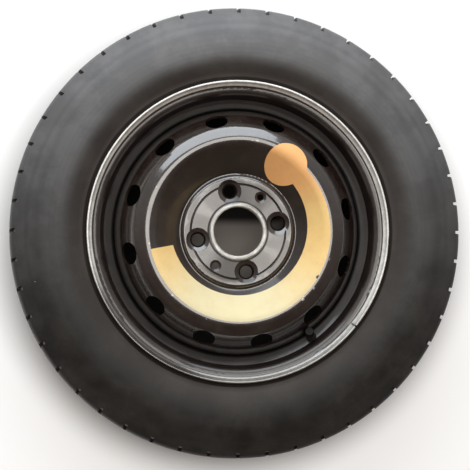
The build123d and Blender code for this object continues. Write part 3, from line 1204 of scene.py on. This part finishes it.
@dataclass
class Tyre:
    """The tyre: one moulded ring with ring and shoulder grooves, in millimetres."""

    half_width: float = 66.5
    outer_radius: float = 272.5
    crown_arc: float = 260.0
    tread_half: float = 47.0
    shoulder_radius: float = 252.0
    shoulder_offset: float = 55.0
    shoulder_round: float = 8.0
    shoulder_lead: float = 4.8
    widest_radius: float = 216.0
    wall_thickness: float = 6.5
    bead_side_radius: float = 177.5
    bead_radius: float = 164.75
    bead_toe: Place = (163.4, 35.3)
    bead_apex: Place = (180.4, 39.8)
    rim_half: float = 50.8
    bead_heel: float = 7.5
    inner_radius: float = 260.0
    inner_shoulder: Place = (259.0, 42.0)
    groove_width: float = 6.5
    groove_draft: float = 0.8
    groove_depth: float = 5.5
    groove_offset: float = 21.0
    notch_count: int = 48
    notch_depth: float = 4.5
    notch_exit: float = 63.0
    notch_drop: float = 8.0
    notch_slant: float = 5.0
    notch_fade: Range = (225.0, 245.0)
    rim_rib: Rib = Rib(middle=184.5, width=1.8, height=0.5, bank=0.6, steps=2)
    plain_band: Rib = Rib(middle=236.0, width=22.0, height=0.25, bank=4.0, steps=5)
    pitch_steps: int = 8
    centre_steps: int = 3
    tread_steps: int = 4
    shoulder_steps: int = 5
    foot_steps: int = 3
    rib_lead_steps: int = 6
    wall_steps: int = 4
    heel_steps: int = 4
    inner_steps: int = 10
    sharp_degrees: float = 40.0

    def crown(self, outboard: float) -> float:
        """Radius of the tread surface at an outboard place."""
        return self.outer_radius - self.crown_arc + math.sqrt(self.crown_arc**2 - outboard**2)

    def wall_arc(self, radius: float) -> float:
        """Radius of the sidewall arc, level at the widest place, that a radius lies on.

        Args:
            radius: Radius on the wall.

        Returns:
            The arc's radius.
        """
        end = (self.bead_side_radius, self.rim_half)
        if radius > self.widest_radius:
            end = (self.shoulder_radius, self.shoulder_offset)
        run, drop = end[0] - self.widest_radius, self.half_width - end[1]
        return (run**2 + drop**2) / (2.0 * drop)

    def wall(self, radius: float, lift: float = 0.0) -> Place:
        """Point of the sidewall.

        Args:
            radius: Radius on the plain wall.
            lift: How far the point stands proud of the wall.

        Returns:
            Radius and outboard place.
        """
        arc = self.wall_arc(radius)
        lean = math.asin((radius - self.widest_radius) / arc)
        reach = arc + lift
        return (self.widest_radius + reach * math.sin(lean), self.half_width - arc + reach * math.cos(lean))

    def wall_centre(self, radius: float) -> Place:
        """Centre of the sidewall arc that a radius lies on."""
        return (self.widest_radius, self.half_width - self.wall_arc(radius))

    def draw_rib(self, pen: SectionPen, rib: Rib) -> None:
        """Draw a raised rib across the sidewall, going towards the rim.

        Args:
            pen: Pen on the sidewall.
            rib: The rib.
        """
        centre = self.wall_centre(rib.middle)
        top, foot = rib.middle + rib.width / 2.0, rib.middle - rib.width / 2.0
        pen.arc(centre, self.wall(top), self.rib_lead_steps)
        pen.line(self.wall(top - rib.bank, rib.height))
        pen.arc(centre, self.wall(foot + rib.bank, rib.height), rib.steps)
        pen.line(self.wall(foot))

    def draw_groove(self, pen: SectionPen, middle: float) -> None:
        """Draw one ring groove of the tread.

        Args:
            pen: Pen on the tread, at the groove's near side.
            middle: Outboard place of the groove's middle.
        """
        half, floor = self.groove_width / 2.0, self.crown(middle) - self.groove_depth
        pen.line(
            (self.crown(middle - half), middle - half),
            (floor, middle - half + self.groove_draft),
            (floor, middle + half - self.groove_draft),
            (self.crown(middle + half), middle + half),
        )

    def draw_section(self, mesh: Mesh) -> list[Edge]:
        """Draw the outboard half of the tyre's section.

        Args:
            mesh: Mesh to draw in.

        Returns:
            The section's edges.
        """
        crown_centre = (self.outer_radius - self.crown_arc, 0.0)
        half = self.groove_width / 2.0
        floor = self.crown(0.0) - self.groove_depth
        pen = SectionPen(mesh, (floor, 0.0), self.half_width)
        pen.line((floor, half - self.groove_draft), (self.crown(half), half))
        near = self.groove_offset - half
        pen.arc(crown_centre, (self.crown(near), near), self.centre_steps)
        self.draw_groove(pen, self.groove_offset)
        shoulder_start = self.tread_half - self.shoulder_lead
        pen.arc(crown_centre, (self.crown(shoulder_start), shoulder_start), self.tread_steps)
        pen.corner((self.crown(self.tread_half), self.tread_half), self.shoulder_round, self.shoulder_steps)
        pen.line(self.notch_end())
        pen.corner((self.shoulder_radius, self.shoulder_offset), self.shoulder_round, self.foot_steps)
        self.draw_rib(pen, self.plain_band)
        pen.arc(self.wall_centre(self.plain_band.middle), self.wall(self.widest_radius), self.wall_steps)
        self.draw_rib(pen, self.rim_rib)
        pen.line(self.wall(self.bead_side_radius))
        pen.corner((self.bead_radius, self.rim_half), self.bead_heel, self.heel_steps)
        pen.line(self.bead_toe, self.bead_apex)
        pen.arc(self.inner_centre(), self.inner_shoulder, self.inner_steps)
        pen.line((self.inner_radius, 0.0))
        return pen.finish()

    def inner_centre(self) -> Place:
        """Centre of the inner wall's arc, through the bead's apex, the wall's thickness and the shoulder.

        Returns:
            Radius and outboard place.
        """
        start, end = Vector(self.bead_apex), Vector(self.inner_shoulder)
        through = Vector((self.widest_radius, self.half_width - self.wall_thickness))
        one, two = through - start, end - through
        middles = Vector((one.dot((start + through) / 2.0), two.dot((through + end) / 2.0)))
        return tuple(Matrix((one, two)).inverted() @ middles)

    def notch_end(self) -> Place:
        """Place where the floor of a shoulder groove runs out on the shoulder.

        Returns:
            Radius and outboard place.
        """
        edge = Vector((self.crown(self.tread_half), self.tread_half))
        foot = Vector((self.shoulder_radius, self.shoulder_offset))
        near, far = edge.x - self.notch_floor(edge.y), foot.x - self.notch_floor(foot.y)
        return tuple(edge.lerp(foot, near / (near - far)))

    def notch_floor(self, outboard: float) -> float:
        """Radius of a shoulder groove's floor.

        Args:
            outboard: Outboard place.

        Returns:
            The radius there.
        """
        start = self.crown(self.groove_offset) - self.notch_depth
        end = self.crown(self.tread_half) - self.notch_drop
        share = (outboard - self.groove_offset) / (self.notch_exit - self.groove_offset)
        return start + (end - start) * share

    def sink(self, verts: Iterable[Vert]) -> None:
        """Lower the points of one section to the floor of a shoulder groove.

        Args:
            verts: Points of the section.
        """
        for vert in verts:
            outboard = vert.co.z / MM - self.half_width
            floor = self.notch_floor(outboard)
            if outboard >= self.groove_offset and vert.co.xy.length / MM > floor:
                vert.co.xy = vert.co.xy.normalized() * floor * MM

    def slant(self, mesh: Mesh) -> None:
        """Slant the shoulder grooves by turning each point a little about the axle.

        Args:
            mesh: Mesh of the outboard half.
        """
        middle = (self.groove_offset + self.notch_exit) / 2.0
        rate = math.tan(math.radians(self.notch_slant)) / self.outer_radius
        at_groove = (self.groove_offset - middle) * rate
        fade_start, fade_end = self.notch_fade
        for vert in mesh.verts:
            outboard = vert.co.z / MM - self.half_width
            radius = vert.co.xy.length / MM
            turn = (outboard - middle) * rate
            if outboard < self.groove_offset:
                turn = at_groove * outboard / self.groove_offset
            fade = min(1.0, max(0.0, (radius - fade_start) / (fade_end - fade_start)))
            vert.co = Matrix.Rotation(-turn * fade, 3, "Z") @ vert.co

    def build_pitch(self, mesh: Mesh) -> None:
        """Model one pitch of the outboard half: a block of the tread and a shoulder groove.

        Args:
            mesh: Empty mesh.
        """
        step = math.tau / (self.notch_count * self.pitch_steps)
        section = self.draw_section(mesh)
        plain = mesh.verts.layers.float.new("plain_radius")
        for vert in mesh.verts:
            vert[plain] = vert.co.x
        turn_about_axle(mesh, mesh.verts, step / 2.0)
        block_steps = self.pitch_steps - 1
        block = spin_about_axle(mesh, list(mesh.verts) + section, step * block_steps, block_steps)
        wall = bmesh.ops.extrude_edge_only(mesh, edges=edges_of(block))["geom"]
        self.sink(verts_of(wall))
        floor = spin_about_axle(mesh, verts_of(wall) + edges_of(wall), step, 1)
        far = bmesh.ops.extrude_edge_only(mesh, edges=edges_of(floor))["geom"]
        for vert in verts_of(far):
            vert.co.xy = vert.co.xy.normalized() * vert[plain]
        close_up(mesh)

    def mirror_half(self, mesh: Mesh) -> None:
        """Add the inboard half, turned on by half a pitch.

        Args:
            mesh: Mesh of the outboard half.
        """
        copied = bmesh.ops.duplicate(mesh, geom=everything(mesh))["geom"]
        verts = verts_of(copied)
        middle = Matrix.Translation((0.0, 0.0, -self.half_width * MM))
        bmesh.ops.scale(mesh, verts=verts, vec=(1.0, 1.0, -1.0), space=middle)
        turn_about_axle(mesh, verts, math.pi / self.notch_count)
        faces = [item for item in copied if isinstance(item, bmesh.types.BMFace)]
        bmesh.ops.reverse_faces(mesh, faces=faces)

    def build(self, material: Material) -> Piece:
        """Model the tyre: one pitch of the tread, repeated round, then mirrored.

        Args:
            material: Rubber finish.

        Returns:
            The tyre.
        """
        mesh = bmesh.new()
        self.build_pitch(mesh)
        repeat_about_axle(mesh, self.notch_count)
        close_up(mesh)
        self.slant(mesh)
        self.mirror_half(mesh)
        close_up(mesh)
        return mesh_object("tyre_body", mesh, material, self.sharp_degrees)


@dataclass
class WeldBeads:
    """Six rippled weld beads in the corner of the disc's skirt and the rim, in millimetres."""

    corner_radius: float = 147.5
    corner_height: float = 62.5
    sheet: float = 3.5
    leg: float = 4.0
    bulge: float = 0.55
    face_steps: int = 6
    ripple: float = 0.45
    ripple_count: int = 26
    ripple_steps: int = 4
    count: int = 6
    arc_degrees: float = 30.0
    first_clock: float = 15.0

    def draw_section(self, mesh: Mesh) -> list[Edge]:
        """Draw a bead's section, with a face that stands a little proud of the corner.

        Args:
            mesh: Mesh to draw in.

        Returns:
            The section's edges.
        """
        corner = Vector((self.corner_radius, self.corner_height))
        start, end = corner - Vector((self.sheet, 0.0)), corner - Vector((0.0, self.leg))
        half = (end - start).length / 2.0
        arc = (half**2 + self.bulge**2) / (2.0 * self.bulge)
        inward = ((start + end) / 2.0 - corner).normalized()
        centre = (start + end) / 2.0 - inward * (arc - self.bulge)
        pen = SectionPen(mesh, tuple(corner))
        pen.line(tuple(start)).arc(tuple(centre), tuple(end), self.face_steps).line(tuple(corner))
        return pen.finish()

    def build(self, material: Material) -> Piece:
        """Model one bead, ripple its face and repeat it round the wheel.

        Args:
            material: Finish of the beads.

        Returns:
            The beads.
        """
        mesh = bmesh.new()
        section = self.draw_section(mesh)
        arc = math.radians(self.arc_degrees)
        spin_about_axle(mesh, list(mesh.verts) + section, arc, self.ripple_steps * self.ripple_count)
        close_up(mesh)
        for vert in mesh.verts:
            away = self.corner_radius * MM - vert.co.xy.length
            below = self.corner_height * MM - vert.co.z
            share = min(away, below) / (self.sheet * MM / 2.0)
            wave = math.sin(math.atan2(vert.co.y, vert.co.x) / arc * math.pi * self.ripple_count)
            vert.co.z += share * wave**2 * self.ripple * MM
        cap_ends(mesh)
        turn_about_axle(mesh, mesh.verts, clock_angle(self.first_clock))
        repeat_about_axle(mesh, self.count)
        bmesh.ops.recalc_face_normals(mesh, faces=mesh.faces)
        return mesh_object("weld_beads", mesh, material)


@dataclass(frozen=True)
class ValveAxis:
    """The slanted line that the valve's pieces share, from the middle of its hole, in millimetres."""

    clock: float = 144.5
    lean: float = 25.0
    seat_radius: float = 156.431
    seat_height: float = 93.301

    def place(self) -> Matrix:
        """Work out the valve's place.

        Returns:
            Turn and shift from the valve's own axis to the wheel.
        """
        turn = Matrix.Rotation(clock_angle(self.clock), 4, "Z")
        seat = Matrix.Translation(Vector((self.seat_radius, 0.0, self.seat_height)) * MM)
        return turn @ seat @ Matrix.Rotation(-math.radians(self.lean), 4, "Y")

    def point(self, along: float) -> Vector:
        """Point of the wheel at a distance along the axis, in millimetres."""
        return self.place() @ Vector((0.0, 0.0, along * MM))


@dataclass
class ValveSpring:
    """Coil spring that holds the valve's pin shut, in millimetres."""

    axis: ValveAxis = ValveAxis()
    coil_radius: float = 1.2
    wire: float = 0.4
    turns: int = 5
    foot: float = 13.25
    height: float = 6.08
    travel: float = 1.8
    wire_sides: int = 10
    turn_steps: int = 28
    sharp_degrees: float = 60.0

    def build(self, material: Material) -> Piece:
        """Wind the wire round the valve's axis.

        Args:
            material: Steel finish.

        Returns:
            The spring.
        """
        mesh = bmesh.new()
        start = Matrix.Translation(Vector((self.coil_radius, 0.0, self.foot)) * MM)
        bmesh.ops.create_circle(
            mesh, cap_ends=False, segments=self.wire_sides, radius=self.wire * MM / 2.0,
            matrix=start @ Matrix.Rotation(math.pi / 2.0, 4, "X"),
        )
        steps = self.turns * self.turn_steps
        spin_about_axle(mesh, everything(mesh), math.tau * self.turns, steps, rise=self.height * MM / steps)
        cap_ends(mesh)
        close_up(mesh)
        bmesh.ops.transform(mesh, matrix=self.axis.place(), verts=mesh.verts)
        return mesh_object("core_spring", mesh, material, self.sharp_degrees)

    def follow_pin(self, spring: Piece) -> None:
        """Give the spring its own copy of its mesh; the spring is not shortened.

        Args:
            spring: The spring.
        """
        low = self.foot - self.wire / 2.0
        along = self.axis.point(1.0) - self.axis.point(0.0)
        tuple(self.axis.point(low))
        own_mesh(spring)


@dataclass
class ValveStem:
    """Brass tube of the valve with a thread of rings cut into its upper end, in millimetres."""

    axis: ValveAxis = ValveAxis()
    radius: float = 3.85
    foot: float = -8.5
    top: float = 23.0
    passage_radius: float = 1.6
    chamber_radius: float = 2.65
    chamber_floor: float = 6.0
    thread_foot: float = 15.4
    thread_pitch: float = 0.8
    thread_depth: float = 0.45
    thread_turns: int = 9
    sides: int = 48

    def build(self, material: Material) -> Piece:
        """Turn the stem's section about the valve's axis.

        Args:
            material: Brass finish.

        Returns:
            The stem.
        """
        mesh = bmesh.new()
        pen = SectionPen(mesh, (self.passage_radius, self.foot))
        pen.line((self.radius, self.foot))
        for turn in range(self.thread_turns):
            start = self.thread_foot + turn * self.thread_pitch
            pen.line((self.radius, start))
            pen.line((self.radius - self.thread_depth, start + self.thread_pitch / 2.0))
        thread_top = self.thread_foot + self.thread_turns * self.thread_pitch
        pen.line((self.radius, thread_top), (self.radius, self.top))
        pen.line((self.chamber_radius, self.top), (self.chamber_radius, self.chamber_floor))
        pen.line((self.passage_radius, self.chamber_floor), (self.passage_radius, self.foot))
        section = pen.finish()
        spin_about_axle(mesh, list(mesh.verts) + section, math.tau, self.sides, merge=True)
        close_up(mesh)
        bmesh.ops.transform(mesh, matrix=self.axis.place(), verts=mesh.verts)
        return mesh_object("threaded_stem", mesh, material)


@dataclass(frozen=True)
class Softbox:
    """Rectangular lamp: where it hangs and its size in metres, the brightness of its face and its tone."""

    name: str
    place: tuple[float, float, float]
    size: Place
    radiance: float
    tone: Colour

    def hang(self, target: Vector) -> None:
        """Hang the lamp so that it shines at a target.

        Args:
            target: Point that it faces.
        """
        data = bpy.data.lights.new(self.name, "AREA")
        data.shape = "RECTANGLE"
        data.size, data.size_y = self.size
        data.energy = self.radiance * math.pi * self.size[0] * self.size[1]
        data.color = self.tone
        lamp = bpy.data.objects.new(self.name, data)
        lamp.location = self.place
        lamp.rotation_euler = (target - Vector(self.place)).to_track_quat("-Z", "Y").to_euler()
        bpy.context.scene.collection.objects.link(lamp)


@dataclass
class Studio:
    """Pale floor, soft lamps and the camera that looks down on the wheel, in metres and degrees."""

    target: tuple[float, float, float] = (0.0, 0.0, 0.1285)
    distance: float = 1.5
    lean_right: float = -5.39
    lean_up: float = -2.65
    focal_pixels: float = 1271.9
    target_pixel: Place = (239.5, 230.84)
    view_end: float = 50.0
    floor_half: float = 20.0
    floor_tone: Colour = (0.70, 0.695, 0.685)
    floor_shade: Colour = (0.42, 0.38, 0.345)
    floor_dark: Colour = (0.02, 0.017, 0.015)
    floor_roughness: float = 0.9
    covered_reach: Range = (0.262, 0.212)
    bore_view: Range = (0.050, 0.085)
    bore_shadow: Range = (0.010, 0.024)
    lift: float = 0.50
    lift_reach: Range = (0.262, 0.33)
    room_level: Ramp = (-0.7, 0.9, 0.13, 0.55)
    room_turn: Range = (-0.7, 0.5)
    room_warm: Colour = (1.0, 0.76, 0.63)
    room_plain: Colour = (1.0, 0.985, 0.965)
    overhead: Softbox = Softbox("overhead_box", (-0.08, 0.22, 2.1), (1.2, 1.0), 3.5, (1.0, 0.955, 0.89))
    window: Softbox = Softbox("window_box", (-0.14, 1.00, 0.72), (1.2, 1.15), 3.2, (0.88, 0.94, 1.0))

    def floor_finish(self, effects: Effects) -> Material:
        """Make the floor's finish, which shows brighter away from the wheel, keeps its shadow and has
        painted shadow under the wheel.

        Args:
            effects: Shared effects.

        Returns:
            The material.
        """
        made = bpy.data.materials.new("studio_floor")
        made.use_nodes = True
        bench = NodeBench(made.node_tree)
        shader = made.node_tree.nodes[SHADER]
        radius = effects.place.on(bench).outputs["Radius"]
        # Painted shadow: under the wheel the floor takes a shade colour, near black beyond the bore's view
        # and towards the top of the picture.
        shadow = bench.span(bench.parts(bench.point())[1], *self.bore_shadow)
        unlit = bench.most(bench.span(radius, *self.bore_view), shadow)
        shade = bench.mix(unlit, self.floor_shade, self.floor_dark)
        covered = bench.span(radius, *self.covered_reach)
        bench.feed(shader.inputs["Base Color"], bench.mix(covered, self.floor_tone, shade))
        bench.feed(shader.inputs["Roughness"], self.floor_roughness)
        path = bench.node("LightPath").outputs
        seen = bench.most(path["Is Camera Ray"], path["Is Glossy Ray"])
        seen = bench.most(seen, path["Is Transmission Ray"])
        lift = bench.times(seen, bench.span(radius, *self.lift_reach))
        bench.feed(shader.inputs["Emission Color"], bench.mix(lift, BLACK, WHITE))
        bench.feed(shader.inputs["Emission Strength"], self.lift)
        return made

    def add_floor(self, effects: Effects) -> None:
        """Lay the floor.

        Args:
            effects: Shared effects.
        """
        mesh = bmesh.new()
        bmesh.ops.create_grid(mesh, x_segments=1, y_segments=1, size=self.floor_half)
        mesh_object("studio_floor", mesh, self.floor_finish(effects))

    def add_world(self) -> None:
        """Fill the room with light that is stronger on the side of the window."""
        world = bpy.data.worlds.new("studio_room")
        world.use_nodes = True
        bench = NodeBench(world.node_tree)
        background = world.node_tree.nodes["Background"]
        towards = bench.parts(bench.node("TexCoord").outputs["Generated"])[1]
        window_side = bench.span(towards, *self.room_turn)
        bench.feed(background.inputs["Color"], bench.mix(window_side, self.room_warm, self.room_plain))
        bench.feed(background.inputs["Strength"], bench.span(towards, *self.room_level))
        bpy.context.scene.world = world

    def add_camera(self) -> None:
        """Put the camera at the place from which the wheel is seen."""
        data = bpy.data.cameras.new("camera")
        data.sensor_width = SENSOR_WIDTH
        data.lens = self.focal_pixels * SENSOR_WIDTH / IMAGE_PIXELS
        data.shift_x = (IMAGE_PIXELS / 2.0 - self.target_pixel[0]) / IMAGE_PIXELS
        data.shift_y = (self.target_pixel[1] - IMAGE_PIXELS / 2.0) / IMAGE_PIXELS
        data.clip_end = self.view_end
        leans = [math.tan(math.radians(lean)) for lean in (self.lean_right, self.lean_up)]
        back = Vector((*leans, 1.0)).normalized()
        right = ACROSS.cross(back).normalized()
        up = back.cross(right)
        camera = bpy.data.objects.new("camera", data)
        turned = Matrix((right, up, back)).transposed().to_4x4()
        camera.matrix_world = Matrix.Translation(Vector(self.target) + back * self.distance) @ turned
        bpy.context.scene.collection.objects.link(camera)
        bpy.context.scene.camera = camera

    def build(self, effects: Effects) -> None:
        """Set up the whole studio.

        Args:
            effects: Shared effects.
        """
        self.add_floor(effects)
        self.add_world()
        for lamp in (self.overhead, self.window):
            lamp.hang(Vector(self.target))
        self.add_camera()
        bpy.context.scene.view_settings.view_transform = "Standard"


def dress_nodes(material: Material, *names: str) -> None:
    """Give frame nodes their finish.

    Args:
        material: The finish.
        names: Nodes of the frame.
    """
    for name in names:
        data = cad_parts[name].data
        data.materials.clear()
        data.materials.append(material)
        LOG.info("dressed %s", name)


def add_piece(piece: Piece, node: str) -> None:
    """Let a modelled piece take the place of a frame node.

    Args:
        piece: The modelled piece.
        node: Node that it replaces.
    """
    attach(piece, WHEEL_BODY)
    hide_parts(node)
    LOG.info("built %s with %d faces", piece.name, len(piece.data.polygons))


def main() -> None:
    """Build and dress every piece, then set up the studio."""
    logging.basicConfig(level=logging.INFO, format="%(message)s")
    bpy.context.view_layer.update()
    effects = Effects.make()

    add_piece(Tyre().build(TyreRubber().material(effects)), "tyre")

    enamel = BlackEnamel().material(effects)
    dress_nodes(enamel, "rim", "wheel_disc")
    add_piece(WeldBeads().build(enamel), "disc_welds")
    dress_nodes(OrangeFilm().material(effects), "band_label")

    dress_nodes(ValveRubber().material(effects), "valve_body")
    dress_nodes(SealRubber().material(effects), "valve_core_gasket", "valve_core_cup", "valve_cap_seal")
    brass = ValveBrass().material(effects)
    dress_nodes(brass, "valve_core_plug")
    add_piece(ValveStem().build(brass), "valve_stem")
    pin_steel = PinSteel().material(effects)
    dress_nodes(pin_steel, "valve_core_pin")
    spring = ValveSpring()
    coil = spring.build(pin_steel)
    add_piece(coil, "valve_core_spring")
    spring.follow_pin(coil)
    dress_nodes(CapPlastic().material(effects), "valve_cap")

    Studio().build(effects)


if __name__ == "__main__":
    main()
